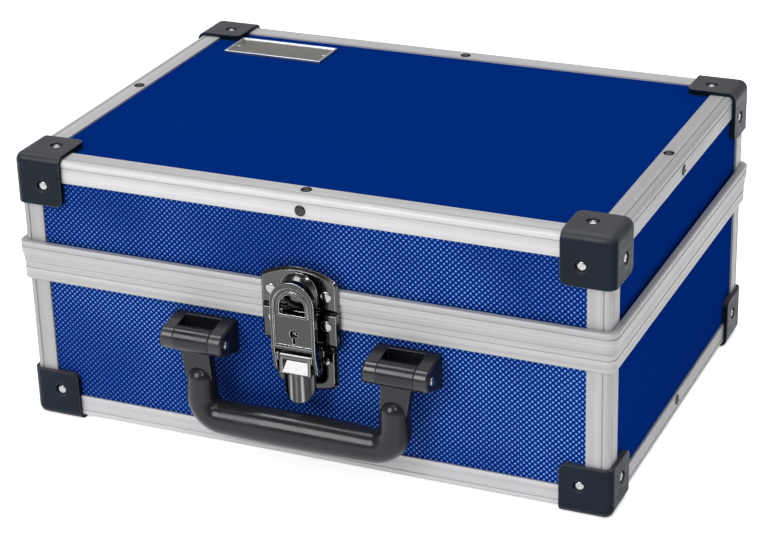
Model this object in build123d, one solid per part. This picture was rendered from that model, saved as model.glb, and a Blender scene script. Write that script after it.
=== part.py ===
"""Aluminium-edged tool case with a hinged lid, a draw latch with lock, and a swing handle.

The origin is the middle of the floor area that the whole case covers. X runs along the
width, the latch and handle face -Y, and +Z is up. All sizes are in millimetres.
"""

import os
from math import hypot, pi

from build123d import *

# Case body
case_width = 330.0            # over the edge rails, left to right
case_depth = 235.0            # over the edge rails, front to back
case_height = 151.0           # over the edge rails, without the corner protectors
lid_height = 60.0             # over the rails, above the parting plane
parting_gap = 0.3             # free space between the two closing bands when shut
board = 3.5                   # thickness of the faced side boards

# Edge rails, one extrusion with a slot for each of the two boards it joins
rail_flange = 12.5            # visible width of each outer flange
rail_wall = 1.2
rail_radius = 2.5             # rounding of the outer edge
rail_lip = 9.0                # reach of the inner lips, from the outer faces
rail_lip_wall = 1.0
slot_clearance = 0.1          # board in its slot
groove_inset = 3.6            # shadow groove that sets off the rounded bead
groove_width = 0.7
groove_depth = 0.4
rail_end_gap = 0.5            # cut rail ends stay this far from the next rail's flange

# Closing bands round the mouth of the base and of the lid
base_band_height = 10.3
base_band_out = 2.4           # how far it stands out from the rail faces
lid_band_height = 11.5
lid_band_out = 3.6
lid_band_foot_out = 2.8       # its stepped lower strip
lid_band_foot = 4.4           # height of that strip
band_fit = 0.1                # band over the posts and against their lips
band_web = 1.5
band_leg = 1.0                # wall of the inner leg
band_leg_height = 8.0
band_bevel = 0.6
band_groove_width = 0.6
band_groove_depth = 0.35
base_groove_drop = 3.2        # groove in the base band, below the parting plane
lid_groove_rise = 8.3         # groove in the lid band, above the parting plane
tongue_wall = 1.2             # tongue of the base band, which fills the lid's groove
tongue_height = 2.5
tongue_inset = 2.4            # from the rail faces to the tongue
tongue_side_gap = 0.9         # room for the tongue as the lid swings away
tongue_top_gap = 0.5
lid_groove_roof = 1.2

# Lining
lining_wall = 2.0
lining_floor = 3.0

# Corner protectors
protector_size = 28.2         # outer length of each flange
protector_wall = 2.2          # how far it stands out from the rails
protector_edge_radius = 5.2   # rounding of its outer edges and point
protector_tip_radius = 4.0    # rounding of each flange's free corner
protector_pad_gap = 0.1       # between its pads and the rail flanges
protector_rivet_inset = 15.0  # from the rail faces to the rivet
protector_recess_radius = 4.0
protector_recess_depth = 1.2

# Rivets, each a tapered head on the face that it holds down
rivet_sides = 8
rivet_taper = 30.0            # slope of the side of a head, in degrees
case_rivet_radius = 3.0
case_rivet_height = 1.0
rail_rivet_inset = 8.3        # from the outer edge of the rail

# Hinges on the back
hinge_spread = 190.0          # middle to middle
hinge_width = 40.0
hinge_sheet = 1.2
hinge_knuckle_radius = 3.0
hinge_pin_radius = 1.5
hinge_end_knuckle = 11.0      # length of each of the base leaf's two knuckles
hinge_side_gap = 0.3
hinge_turn_gap = 0.35         # sheet edge to the other leaf's knuckle
hinge_foot = 16.0             # height of the riveted foot on the board
hinge_joggle_gap = 0.4        # under the closing band
hinge_rivet_spread = 26.0
pin_clearance = 0.05          # radial, for every pin in its bore

# Carrying handle and its brackets
handle_spread = 115.6         # middle to middle of the brackets
handle_pivot_out = 13.4       # from the rail faces to the pivot
handle_pivot_drop = 24.5      # below the parting plane
handle_eye_width = 20.4
handle_eye_radius = 6.8
handle_pin_radius = 2.2
handle_pin_proud = 0.5
handle_strap = 5.6            # thickness of the flat strap below the eye
handle_strap_shoulder = 1.6   # from the eye's end to the strap's edge
handle_arm_spread = 110.4     # middle to middle of the round arms
handle_dome_drop = 21.5       # from the pivot to where the round arm begins
handle_grip_drop = 42.9       # from the pivot to the grip's centre line
handle_arm_radius = 7.8       # at the top of each arm
handle_grip_radius = 9.9      # at the middle of the grip, towards which the bar thickens
handle_bend_radius = 12.0
handle_strap_inset = 0.4      # strap's edge from the side of the round arm
bracket_ear = 7.5
bracket_side_gap = 0.3
bracket_plate = 3.5
bracket_height = 19.2
bracket_top_drop = 15.7       # below the parting plane
bracket_nose_radius = 6.6
bracket_bevel = 1.0
bracket_screw_radius = 3.2    # heads inside the front board
bracket_screw_head = 0.9

# Draw latch, plates
latch_plate_width = 43.4
latch_plate_out = 6.0         # raised front of both plates, from the rail faces
latch_sheet = 1.2
latch_plate_bevel = 1.5
latch_split_gap = 0.8         # between the lid's plate and the base's plate
keeper_shoulder_rise = 16.4   # above the parting plane
keeper_top_rise = 22.6
keeper_dome_rise = 9.4
keeper_dome_radius = 10.5
keeper_dome_height = 4.7
keeper_corner_radius = 3.4    # upper corners of the lid's plate
base_plate_waist_drop = 19.0  # where the base's plate starts to narrow
base_plate_narrowing = 7.0    # height over which it narrows
base_plate_neck_width = 34.8
base_plate_side_drop = 46.0   # lower end of its straight sides
base_plate_drop = 49.0        # lowest point of its arched lower edge
base_plate_tip_radius = 4.6
base_plate_waist_radius = 4.0
base_plate_neck_radius = 5.0  # hollow curve where the plate has narrowed
base_plate_foot_out = 0.8     # front of its foot, from the rail faces
base_plate_slope_lead = 0.8   # it starts to slope back to the foot this far above the waist
base_plate_slope_height = 6.8
base_plate_bend_radius = 2.4  # at both ends of that slope
latch_rivet_radius = 3.1
latch_rivet_height = 1.0
keeper_rivet_spread = 30.8
keeper_rivet_rise = 8.8
base_rivet_spread = 29.8
base_rivet_drop = 7.8
foot_rivet_spread = 24.0
foot_rivet_drop = 31.0
foot_rivet_radius = 1.9

# Draw latch, lever and loop
lever_pivot_out = 11.5        # from the rail faces
lever_pivot_drop = 25.0       # below the parting plane
loop_pivot_out = 9.5
loop_pivot_drop = 32.0
latch_pin_radius = 1.25
cheek_wall = 1.2
cheek_radius = 3.4
lever_width = 17.2
lever_sheet = 1.4
lever_barrel_radius = 2.5
lever_web_out = 9.4           # front of the sloping web, at the pivot's height
lever_side_gap = 0.4          # lever to cheek, and cheek to loop
lever_lip_out = 14.2          # front of the web's lower edge
lever_lip_drop = 33.8         # where the web ends and the thumb tab begins
lever_tab_set_back = 1.0      # from that edge back to the front of the tab
lever_tip_drop = 51.0         # its lower end
lever_tab_radius = 12.0       # rounding of the tab across its width
lever_ear_radius = 2.4
loop_width = 24.6
loop_rim = 1.6
loop_rim_back = 11.0          # back of the rim, from the rail faces
loop_rim_front = 15.0
loop_plate_back = 12.2
loop_sheet = 1.4
loop_top_rise = 18.0
loop_crown = 3.2              # width of the rim round the top of the arch
loop_window_width = 14.6
loop_window_sill = 0.2        # below the parting plane
loop_window_top = 11.2        # crown of the window, above the parting plane
loop_ring = 1.3               # raised ring round the window
loop_ring_proud = 0.9
loop_roll_radius = 1.4        # rolled lower edge of the plate
loop_plate_drop = 20.8        # lower edge of the plate, below the parting plane
loop_ear_radius = 3.2

# Lock in the loop
lock_drop = 11.4              # keyhole's centre below the parting plane
keyhole_radius = 2.4
keyhole_slot_width = 1.6
keyhole_slot_drop = 5.6
lock_post_radius = 0.8
lock_post_end = 12.8          # tip of the post, from the rail faces
lock_hub_radius = 3.4
lock_hub_wall = 0.7
lock_hub_front = 11.8
lock_cam_back = 8.0
lock_cam_wall = 1.2
lock_cam_width = 3.2
lock_cam_reach = 7.0
lock_case_back = 6.5
lock_case_wall = 0.8
lock_case_half = 4.5
lock_strike_x = 7.7           # stem of the strike that the cam turns behind
lock_strike_lip = 2.7
lock_strike_gap = 0.4
lock_strike_height = 4.0

# Nameplate, left bare
nameplate_length = 62.0
nameplate_depth = 25.0
nameplate_sheet = 0.8
nameplate_rim = 1.0
nameplate_rim_height = 0.6
nameplate_side_gap = 14.0     # from the left rail's flange
nameplate_back_gap = 9.0      # from the back rail's flange
nameplate_rivet_inset = 3.2
nameplate_rivet_radius = 1.6
nameplate_rivet_height = 0.5

# Heights and offsets that follow from the sizes above
frame_low = protector_wall
frame_high = frame_low + case_height
parting = frame_high - lid_height
half_width = case_width / 2
half_depth = case_depth / 2
slot_floor = rail_wall + board + slot_clearance + rail_lip_wall
board_edge = slot_floor + slot_clearance
rail_stop = rail_flange + rail_end_gap
base_band_top = parting - parting_gap / 2
base_band_low = base_band_top - base_band_height
lid_band_low = parting + parting_gap / 2
lid_band_top = lid_band_low + lid_band_height
tongue_groove_depth = parting_gap + tongue_height + tongue_top_gap
lid_web = tongue_groove_depth + lid_groove_roof
base_board_top = base_band_top - band_web - slot_clearance
lid_board_low = lid_band_low + lid_web + slot_clearance
board_face = -rail_wall
hinge_axis_out = lid_band_out + hinge_knuckle_radius
handle_pivot = parting - handle_pivot_drop
front_reach = half_depth + handle_pivot_out + handle_grip_radius
back_reach = half_depth + hinge_axis_out + hinge_knuckle_radius
centring = (front_reach - back_reach) / 2
nameplate_x = -half_width + rail_flange + nameplate_side_gap + nameplate_length / 2
nameplate_y = half_depth - rail_flange - nameplate_back_gap - nameplate_depth / 2

FROM_CORNER = (Align.MIN, Align.MIN)
LEFT, RIGHT = -1, 1
FRONT, BACK = -1, 1

nodes = {}


def span(x0, x1, y0, y1, z0, z1):
    """Box between two corners."""
    return Pos((x0 + x1) / 2, (y0 + y1) / 2, (z0 + z1) / 2) * Box(x1 - x0, y1 - y0, z1 - z0)


def face_plane(out, side=FRONT):
    """Plane on the front or back, out millimetres from the rail faces, with Z upwards."""
    return Plane(origin=(0, side * (half_depth + out), 0), x_dir=(-side, 0, 0), z_dir=(0, side, 0))


def proud(shape, low, high, side=FRONT):
    """Solid that follows a front view from one distance out to another."""
    plane = face_plane(low, side)
    return extrude(plane * shape, amount=high - low, dir=plane.z_dir)


def slab(profile, middle, width, side=FRONT):
    """Solid that follows a side view, drawn as (distance out, height)."""
    plane = Plane(origin=(middle, side * half_depth, 0), x_dir=(0, side, 0), z_dir=(side, 0, 0))
    return extrude(plane * profile, amount=width / 2, both=True)


def cross_bore(out, height, radius, width, middle=0.0, side=FRONT):
    """Round bar along X, used for pins and for their bores."""
    return slab(Pos(out, height) * Circle(radius), middle, width, side)


def area(x0, x1, y0, y1):
    """Rectangle between two corners of a flat view."""
    return Pos(x0, y0) * Rectangle(x1 - x0, y1 - y0, align=FROM_CORNER)


def group(solids):
    """Several separate solids as one node."""
    return Compound([solid for shape in solids for solid in shape.solids()])


def outline(out):
    """Plan of the case, out millimetres outside the rail faces."""
    radius = rail_radius + out
    width = case_width + 2 * out
    depth = case_depth + 2 * out
    return RectangleRounded(width, depth, radius) if radius > 0.2 else Rectangle(width, depth)


def plan_block(out, low, high):
    return extrude(Pos(0, 0, low) * outline(out), amount=high - low)


def plan_ring(outer, inner, low, high):
    return plan_block(outer, low, high) - plan_block(inner, low, high)


# Rivets

def rivet(seat, radius, height):
    """Rivet head on a seat whose normal points outwards."""
    return extrude(seat * RegularPolygon(radius, rivet_sides), amount=height, taper=rivet_taper)


# Edge rails

def rail_profile():
    """Section of the edge rail, with its outer corner at the origin."""
    flanges = area(0, rail_flange, 0, rail_wall) + area(0, rail_wall, 0, rail_flange)
    core = area(0, slot_floor, 0, slot_floor)
    lip_low = slot_floor - rail_lip_wall
    lips = area(0, rail_lip, lip_low, slot_floor) + area(lip_low, slot_floor, 0, rail_lip)
    section = flanges + core + lips
    corner = section.vertices().sort_by_distance((0, 0, 0))[0]
    section = fillet(corner, rail_radius)
    chamber_end = slot_floor - rail_wall
    section -= area(rail_wall, chamber_end, rail_wall, chamber_end)
    groove_end = groove_inset + groove_width
    section -= area(groove_inset, groove_end, 0, groove_depth)
    section -= area(0, groove_depth, groove_inset, groove_end)
    return section


section = rail_profile()


def edge_rail(middle, length, inward_a, inward_b):
    """Rail whose outer corner passes through middle, with flanges along two directions."""
    along = Vector(inward_a).cross(Vector(inward_b))
    plane = Plane(origin=middle, x_dir=inward_a, z_dir=along)
    return extrude(plane * section, amount=length / 2, both=True)


def rim_rails(height, inward_z):
    """The four horizontal rails of the base or the lid, with their rivet seats."""
    rails = {}
    seats = []
    for name, x, y in (("front", 0, FRONT), ("back", 0, BACK), ("left", LEFT, 0), ("right", RIGHT, 0)):
        middle = Vector(x * half_width, y * half_depth, height)
        length = (case_width if x == 0 else case_depth) - 2 * rail_stop
        sideways = Vector(-x, -y, 0)
        upright = Vector(0, 0, inward_z)
        rails[name] = edge_rail(middle, length, sideways, upright)
        seats.append(Plane(origin=middle + upright * rail_rivet_inset, z_dir=-sideways))
        seats.append(Plane(origin=middle + sideways * rail_rivet_inset, z_dir=-upright))
    return rails, seats


def post(x, y, low, high):
    """Upright rail at one corner of the plan."""
    middle = (x * half_width, y * half_depth, (low + high) / 2)
    return edge_rail(middle, high - low, (-x, 0, 0), (0, -y, 0))


# Boards

def boards(low, high, flat_middle):
    """Four side boards and one flat board, seated in the slots of the rails."""
    x = half_width - board_edge
    y = half_depth - board_edge
    x_face = half_width - rail_wall
    y_face = half_depth - rail_wall
    return {
        "front_panel": span(-x, x, -y_face, -y_face + board, low, high),
        "back_panel": span(-x, x, y_face - board, y_face, low, high),
        "left_panel": span(-x_face, -x_face + board, -y, y, low, high),
        "right_panel": span(x_face - board, x_face, -y, y, low, high),
        "flat_panel": span(-x, x, -y, y, flat_middle - board / 2, flat_middle + board / 2),
    }


# Closing bands

def bevelled_block(out, low, high, upper):
    """Filled plan with a bevel round its upper or lower outer edge."""
    block = plan_block(out, low, high)
    end = block.faces().sort_by(Axis.Z)[-1 if upper else 0]
    return chamfer(end.edges(), band_bevel)


def base_band():
    """Closing band of the base: skirt over the posts, web, inner leg and tongue."""
    leg_outer = -slot_floor - band_fit
    band = bevelled_block(base_band_out, base_band_low, base_band_top, upper=False)
    band -= plan_block(band_fit, base_band_low, base_band_top - band_web)
    groove_top = parting - base_groove_drop
    groove_low = groove_top - band_groove_width
    band -= plan_ring(base_band_out + band_bevel, base_band_out - band_groove_depth, groove_low, groove_top)
    leg_low = base_band_top - band_leg_height
    band += plan_ring(leg_outer, leg_outer - band_leg, leg_low, base_band_top)
    tongue_inner = -tongue_inset - tongue_wall
    band += plan_ring(-tongue_inset, tongue_inner, base_band_top, base_band_top + tongue_height)
    return band - plan_block(leg_outer - band_leg, base_band_low, base_band_top)


def lid_band():
    """Closing band of the lid, with the groove that takes the base's tongue."""
    leg_outer = -slot_floor - band_fit
    foot_top = lid_band_low + lid_band_foot
    band = bevelled_block(lid_band_out, foot_top, lid_band_top, upper=True)
    band += plan_block(lid_band_foot_out, lid_band_low, foot_top)
    band -= plan_block(band_fit, lid_band_low + lid_web, lid_band_top)
    groove_low = parting + lid_groove_rise
    groove_top = groove_low + band_groove_width
    band -= plan_ring(lid_band_out + band_bevel, lid_band_out - band_groove_depth, groove_low, groove_top)
    band += plan_ring(leg_outer, leg_outer - band_leg, lid_band_low, lid_band_low + band_leg_height)
    band -= plan_block(leg_outer - band_leg, lid_band_low, lid_band_top)
    groove_outer = tongue_side_gap - tongue_inset
    groove_inner = -tongue_inset - tongue_wall - tongue_side_gap
    return band - plan_ring(groove_outer, groove_inner, lid_band_low, lid_band_low + tongue_groove_depth)


# Corner protectors

def protector():
    """Protector for a corner whose point is the origin and whose case lies along +X, +Y, +Z."""
    end = protector_size - protector_wall
    block = span(-protector_wall, end, -protector_wall, end, -protector_wall, end)
    point = (-protector_wall,) * 3
    outer_edges = block.edges().sort_by_distance(point)[:3]
    block = fillet(outer_edges, protector_edge_radius)
    inside = span(0, 2 * end, 0, 2 * end, 0, 2 * end)
    inner_edges = inside.edges().sort_by_distance((0, 0, 0))[:3]
    block -= fillet(inner_edges, rail_radius)
    pad = rail_flange + protector_pad_gap
    block += span(pad, end, pad, end, 0, rail_wall)
    block += span(pad, end, 0, rail_wall, pad, end)
    block += span(0, rail_wall, pad, end, pad, end)
    tips = block.edges().filter_by(lambda edge: sum(abs(c - end) < 0.01 for c in edge.center()) == 2)
    tips = [edge for edge in tips if edge.length < 2 * protector_wall]
    return fillet(tips, protector_tip_radius)


corner_shape = protector()


def corner_set(height, inward_z):
    """Four protectors of the base or the lid, with their rivet seats."""
    corners = {}
    seats = []
    for name_y, y in (("front", FRONT), ("back", BACK)):
        for name_x, x in (("left", LEFT), ("right", RIGHT)):
            point = (x * half_width, y * half_depth, height)
            inward = (-x, -y, inward_z)
            shape = corner_shape
            for away, plane in zip(inward, (Plane.YZ, Plane.XZ, Plane.XY)):
                if away < 0:
                    shape = mirror(shape, about=plane)
            shape = Pos(*point) * shape
            for axis in range(3):
                offset = [protector_rivet_inset] * 3
                offset[axis] = protector_recess_depth - protector_wall
                normal = [0, 0, 0]
                normal[axis] = -inward[axis]
                origin = tuple(p + i * o for p, i, o in zip(point, inward, offset))
                seat = Plane(origin=origin, z_dir=tuple(normal))
                recess = RegularPolygon(protector_recess_radius, rivet_sides)
                shape -= extrude(seat * recess, amount=2 * protector_recess_depth)
                seats.append(seat)
            corners[f"{name_y}_{name_x}"] = shape
    return corners, seats


# Half cases

def half_case(prefix, height, inward_z, post_span, board_span, flat_name):
    """Rails, posts, boards, protectors and their rivets for the base or the lid."""
    rails, rail_seats = rim_rails(height, inward_z)
    corners, corner_seats = corner_set(height, inward_z)
    flat_middle = height + inward_z * (rail_wall + board / 2)
    for name, shape in boards(*board_span, flat_middle).items():
        nodes[f"{prefix}_{name.replace('flat', flat_name)}"] = shape
    for name, shape in rails.items():
        nodes[f"{prefix}_rail_{name}"] = shape
    for name_y, y in (("front", FRONT), ("back", BACK)):
        for name_x, x in (("left", LEFT), ("right", RIGHT)):
            nodes[f"{prefix}_post_{name_y}_{name_x}"] = post(x, y, *post_span)
    for name, shape in corners.items():
        nodes[f"{prefix}_protector_{name}"] = shape
    nodes[f"{prefix}_case_rivets"] = group(
        rivet(seat, case_rivet_radius, case_rivet_height) for seat in rail_seats + corner_seats
    )


def room(inset, low, high):
    """Block that keeps a distance from the rail faces all round."""
    x = half_width - inset
    y = half_depth - inset
    return span(-x, x, -y, y, low, high)


def lining(low, high, floor_low, floor_high):
    """Open tray of thin foam that lies against the inner lips of the rails."""
    upright = floor_low == low
    inner_low = floor_high if upright else low
    inner_high = high if upright else floor_low
    return room(slot_floor, low, high) - room(slot_floor + lining_wall, inner_low, inner_high)


# Hinges

def hinge_leaf(direction, band_edge):
    """Bent leaf whose foot stands off in direction (1 up, -1 down), without its knuckles."""
    near = lid_band_out
    far = near + hinge_sheet
    start = parting + direction * (hinge_knuckle_radius + hinge_turn_gap)
    bend = band_edge + direction * hinge_joggle_gap
    outer_bend = bend + direction * hinge_sheet
    end = outer_bend + direction * hinge_foot
    points = [
        (near, start), (far, start), (far, outer_bend), (board_face + hinge_sheet, outer_bend),
        (board_face + hinge_sheet, end), (board_face, end), (board_face, bend), (near, bend),
    ]
    profile = make_face(Polyline(*points, close=True))
    foot_middle = (outer_bend + end) / 2
    return profile, foot_middle


def hinge_knuckle(direction):
    """Section of a knuckle with the strip that joins it to its leaf."""
    near = lid_band_out
    edge = parting + direction * (hinge_knuckle_radius + hinge_turn_gap)
    strip = area(near, near + hinge_sheet, min(parting, edge), max(parting, edge))
    eye = Pos(hinge_axis_out, parting) * Circle(hinge_knuckle_radius)
    bore = Pos(hinge_axis_out, parting) * Circle(hinge_pin_radius + pin_clearance)
    return strip + eye - bore


def hinge_seats(foot_middle):
    seats = []
    for middle in (-hinge_spread / 2, hinge_spread / 2):
        for side in (LEFT, RIGHT):
            x = middle + side * hinge_rivet_spread / 2
            origin = (x, half_depth + board_face + hinge_sheet, foot_middle)
            seats.append(Plane(origin=origin, z_dir=(0, 1, 0)))
    return seats


def hinges():
    """Leaves, pins and rivet seats of the two back hinges."""
    base_profile, base_foot = hinge_leaf(-1, base_band_low)
    lid_profile, lid_foot = hinge_leaf(1, lid_band_top)
    base_eye, lid_eye = hinge_knuckle(-1), hinge_knuckle(1)
    end_offset = (hinge_width - hinge_end_knuckle) / 2
    middle_length = hinge_width - 2 * (hinge_end_knuckle + hinge_side_gap)
    base_leaves, lid_leaves, pins = [], [], []
    for middle in (-hinge_spread / 2, hinge_spread / 2):
        leaf = slab(base_profile, middle, hinge_width, BACK)
        for side in (LEFT, RIGHT):
            leaf += slab(base_eye, middle + side * end_offset, hinge_end_knuckle, BACK)
        base_leaves.append(leaf)
        lid_leaf = slab(lid_profile, middle, hinge_width, BACK)
        lid_leaves.append(lid_leaf + slab(lid_eye, middle, middle_length, BACK))
        pins.append(cross_bore(hinge_axis_out, parting, hinge_pin_radius, hinge_width, middle, BACK))
    return base_leaves, lid_leaves, pins, hinge_seats(base_foot), hinge_seats(lid_foot)


# Latch plates

def keeper_outline(inset=0.0):
    """Front view of the lid's latch plate, with its arched top."""
    half = latch_plate_width / 2 - inset
    low = parting + latch_split_gap / 2 + inset
    shoulder = parting + keeper_shoulder_rise - inset
    top = parting + keeper_top_rise - inset
    sides = Polyline((-half, shoulder), (-half, low), (half, low), (half, shoulder))
    arch = ThreePointArc((half, shoulder), (0, top), (-half, shoulder))
    face = make_face([*sides.edges(), arch])
    return fillet(face.vertices().group_by(Axis.Y)[-1], keeper_corner_radius - inset)


def base_plate_outline(inset=0.0):
    """Front view of the base's latch plate, which narrows to a foot with an arched edge."""
    half = latch_plate_width / 2 - inset
    neck = base_plate_neck_width / 2 - inset
    top = parting - latch_split_gap / 2 - inset
    waist = parting - base_plate_waist_drop
    narrow = waist - base_plate_narrowing
    side_low = parting - base_plate_side_drop + inset
    low = parting - base_plate_drop + inset
    right = [(half, top), (half, waist), (neck, narrow), (neck, side_low)]
    left = [(-x, z) for x, z in reversed(right)]
    arch_edge = ThreePointArc((neck, side_low), (0, low), (-neck, side_low))
    face = make_face([*Polyline(*left, *right).edges(), arch_edge])
    tips = [v for v in face.vertices() if abs(v.Y - side_low) < 0.01]
    face = fillet(tips, base_plate_tip_radius - inset)
    necks = [v for v in face.vertices() if abs(v.Y - narrow) < 0.01]
    face = fillet(necks, base_plate_neck_radius)
    waists = [v for v in face.vertices() if abs(v.Y - waist) < 0.01]
    return fillet(waists, base_plate_waist_radius)


def base_plate_form(back, inset=0.0):
    """Filled form of the base's plate: a part on the band, a slope back and a foot on the board."""
    front = latch_plate_out - inset
    foot = base_plate_foot_out - inset
    slope_top = parting - base_plate_waist_drop + base_plate_slope_lead
    slope_low = slope_top - base_plate_slope_height
    low = parting - base_plate_drop - latch_plate_out
    points = [
        (back, parting), (front, parting), (front, slope_top), (foot, slope_low),
        (foot, low), (board_face, low), (board_face, slope_low + latch_sheet),
        (back, slope_top + latch_sheet),
    ]
    profile = make_face(Polyline(*points, close=True))
    bends = [v for v in profile.vertices() if slope_low - 0.1 < v.Y < slope_top + 0.1]
    profile = fillet(bends, base_plate_bend_radius)
    return slab(profile, 0, latch_plate_width) & proud(base_plate_outline(inset), board_face, latch_plate_out)


def pressed_plate(outer, inner):
    """Dished plate with a bevelled edge round its front, hollow behind."""
    fronts = [face for face in outer.faces() if face.normal_at().Y < -0.1]
    edges = [edge for face in fronts for edge in face.edges()]
    rims = [edge for edge in edges if sum(edge.is_same(other) for other in edges) == 1]
    return chamfer(rims, latch_plate_bevel) - inner


def keeper_plate():
    """Lid's latch plate, with the dome that the loop's arch draws against."""
    inner_front = latch_plate_out - latch_sheet
    outer = proud(keeper_outline(), lid_band_out, latch_plate_out)
    plate = pressed_plate(outer, proud(keeper_outline(latch_sheet), lid_band_out, inner_front))
    radius = (keeper_dome_radius**2 + keeper_dome_height**2) / (2 * keeper_dome_height)
    centre_out = latch_plate_out + keeper_dome_height - radius
    ball = face_plane(centre_out) * (Pos(0, parting + keeper_dome_rise) * Sphere(radius))
    return plate + (ball & proud(keeper_outline(), inner_front, latch_plate_out + radius))


def latch_x_bands():
    """Half-widths where the lever ends, each cheek lies and the loop's ears begin."""
    lever = lever_width / 2
    cheek = lever + lever_side_gap
    ear = loop_width / 2 - loop_rim
    return lever, cheek, ear


def base_plate():
    """Base's latch plate, with the two cheeks of the lever pivot and the lock's strike."""
    inner = base_plate_form(board_face, latch_sheet)
    plate = pressed_plate(base_plate_form(base_band_out), inner)
    pivot = parting - lever_pivot_drop
    lobe = Pos(lever_pivot_out, pivot) * Circle(cheek_radius)
    stem = area(board_face, lever_pivot_out, pivot - cheek_radius, pivot + cheek_radius)
    cheek_middle = latch_x_bands()[1] + cheek_wall / 2
    for side in (LEFT, RIGHT):
        plate += slab(lobe + stem, side * cheek_middle, cheek_wall) - inner
    plate -= cross_bore(lever_pivot_out, pivot, latch_pin_radius + pin_clearance, latch_plate_width)
    lock = parting - lock_drop
    half = lock_strike_height / 2
    lip_back = lock_cam_back + lock_cam_wall + lock_strike_gap
    lip_front = lip_back + latch_sheet
    stem_end = lock_strike_x + latch_sheet
    root = latch_plate_out - latch_sheet / 2
    plate += proud(area(lock_strike_x, stem_end, lock - half, lock + half), root, lip_front)
    lip = area(lock_strike_x - lock_strike_lip, stem_end, lock - half, lock + half)
    return plate + proud(lip, lip_back, lip_front)


# Latch lever and loop

def lever():
    """Thumb lever: barrel on the pivot, two side walls, a sloping web and a rounded tab."""
    pivot = Pos(lever_pivot_out, parting - lever_pivot_drop)
    loop_pivot = Pos(loop_pivot_out, parting - loop_pivot_drop)
    tab_top = parting - lever_lip_drop
    lip_back = lever_lip_out - lever_sheet
    tab_out = lever_lip_out - lever_tab_set_back
    tip = parting - lever_tip_drop
    half = lever_width / 2
    corner = Pos(lip_back, tab_top) * Circle(lever_sheet)
    wall_edges = (pivot * Circle(lever_ear_radius)).edges() + (loop_pivot * Circle(lever_ear_radius)).edges()
    wall = make_hull(wall_edges + corner.edges())
    web_back = lever_web_out - lever_sheet
    web = Polygon(
        (web_back, parting - lever_pivot_drop), (lever_web_out, parting - lever_pivot_drop),
        (lever_lip_out, tab_top), (lip_back, tab_top - lever_sheet), align=None,
    )
    tongue = area(-half, half, tip + half, tab_top) + Pos(0, tip + half) * Circle(half)
    bend = Pos(0, -half_depth - tab_out + lever_tab_radius, tip)
    tab_back = tab_out - lever_tab_radius
    bow = Circle(lever_tab_radius) - Circle(lever_tab_radius - lever_sheet)
    tab = extrude(bend * bow, amount=tab_top - tip) & proud(tongue, tab_back, tab_out)
    shape = slab(pivot * Circle(lever_barrel_radius), 0, lever_width)
    shape += slab(web, 0, lever_width)
    shape += tab
    for side in (LEFT, RIGHT):
        shape += slab(wall, side * (half - lever_sheet / 2), lever_sheet)
    for out, drop in ((lever_pivot_out, lever_pivot_drop), (loop_pivot_out, loop_pivot_drop)):
        shape -= cross_bore(out, parting - drop, latch_pin_radius + pin_clearance, loop_width)
    return shape


def arch(half, low, top):
    """Upright shape with a straight lower edge and a half-round top."""
    middle = top - half
    crown = (Pos(0, middle) * Circle(half)) & area(-half, half, middle, top)
    return area(-half, half, low, middle) + crown


def loop():
    """Loop of the draw latch: rim, plate with a ringed window and a keyhole, rolled edge, two ears."""
    half = loop_width / 2
    low = parting - loop_plate_drop
    sill = parting - loop_window_sill
    crown = parting + loop_window_top
    front = loop_plate_back + loop_sheet
    outer = arch(half, low, parting + loop_top_rise)
    inner = arch(half - loop_rim, low - loop_rim, parting + loop_top_rise - loop_crown)
    window = arch(loop_window_width / 2, sill, crown)
    ring = arch(loop_window_width / 2 + loop_ring, sill - loop_ring, crown + loop_ring) - window
    lock = parting - lock_drop
    keyhole = Pos(0, lock) * Circle(keyhole_radius)
    keyhole += area(-keyhole_slot_width / 2, keyhole_slot_width / 2, lock - keyhole_slot_drop, lock)
    shape = proud(outer - inner, loop_rim_back, loop_rim_front)
    shape += proud(outer - window - keyhole, loop_plate_back, front)
    shape += proud(ring, loop_plate_back, front + loop_ring_proud)
    roll_width = loop_width - 2 * loop_rim
    roll_out = loop_plate_back + loop_roll_radius
    shape += cross_bore(roll_out, low + loop_roll_radius, loop_roll_radius, roll_width)
    rim_middle = (loop_rim_back + loop_rim_front) / 2
    rim_half = (loop_rim_front - loop_rim_back) / 2
    pivot = Pos(loop_pivot_out, parting - loop_pivot_drop)
    upper = Pos(rim_middle, low) * Circle(rim_half)
    ear = make_hull((pivot * Circle(loop_ear_radius)).edges() + upper.edges())
    for side in (LEFT, RIGHT):
        shape += slab(ear, side * (half - loop_rim / 2), loop_rim)
    bore_radius = latch_pin_radius + pin_clearance
    return shape - cross_bore(loop_pivot_out, parting - loop_pivot_drop, bore_radius, 2 * loop_width)


# Lock

def lock_case():
    """Bridge behind the loop plate that carries the post on which the cam turns."""
    lock = parting - lock_drop
    half = lock_case_half
    back = lock_case_back + lock_case_wall
    shape = proud(area(-half, half, lock - half, lock + half), lock_case_back, back)
    legs = area(-half, half, lock + half - lock_case_wall, lock + half)
    legs += area(-half, lock_case_wall - half, lock - half, lock + half)
    shape += proud(legs, lock_case_back, loop_plate_back)
    return shape + proud(Pos(0, lock) * Circle(lock_post_radius), lock_case_back, lock_post_end)


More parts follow.
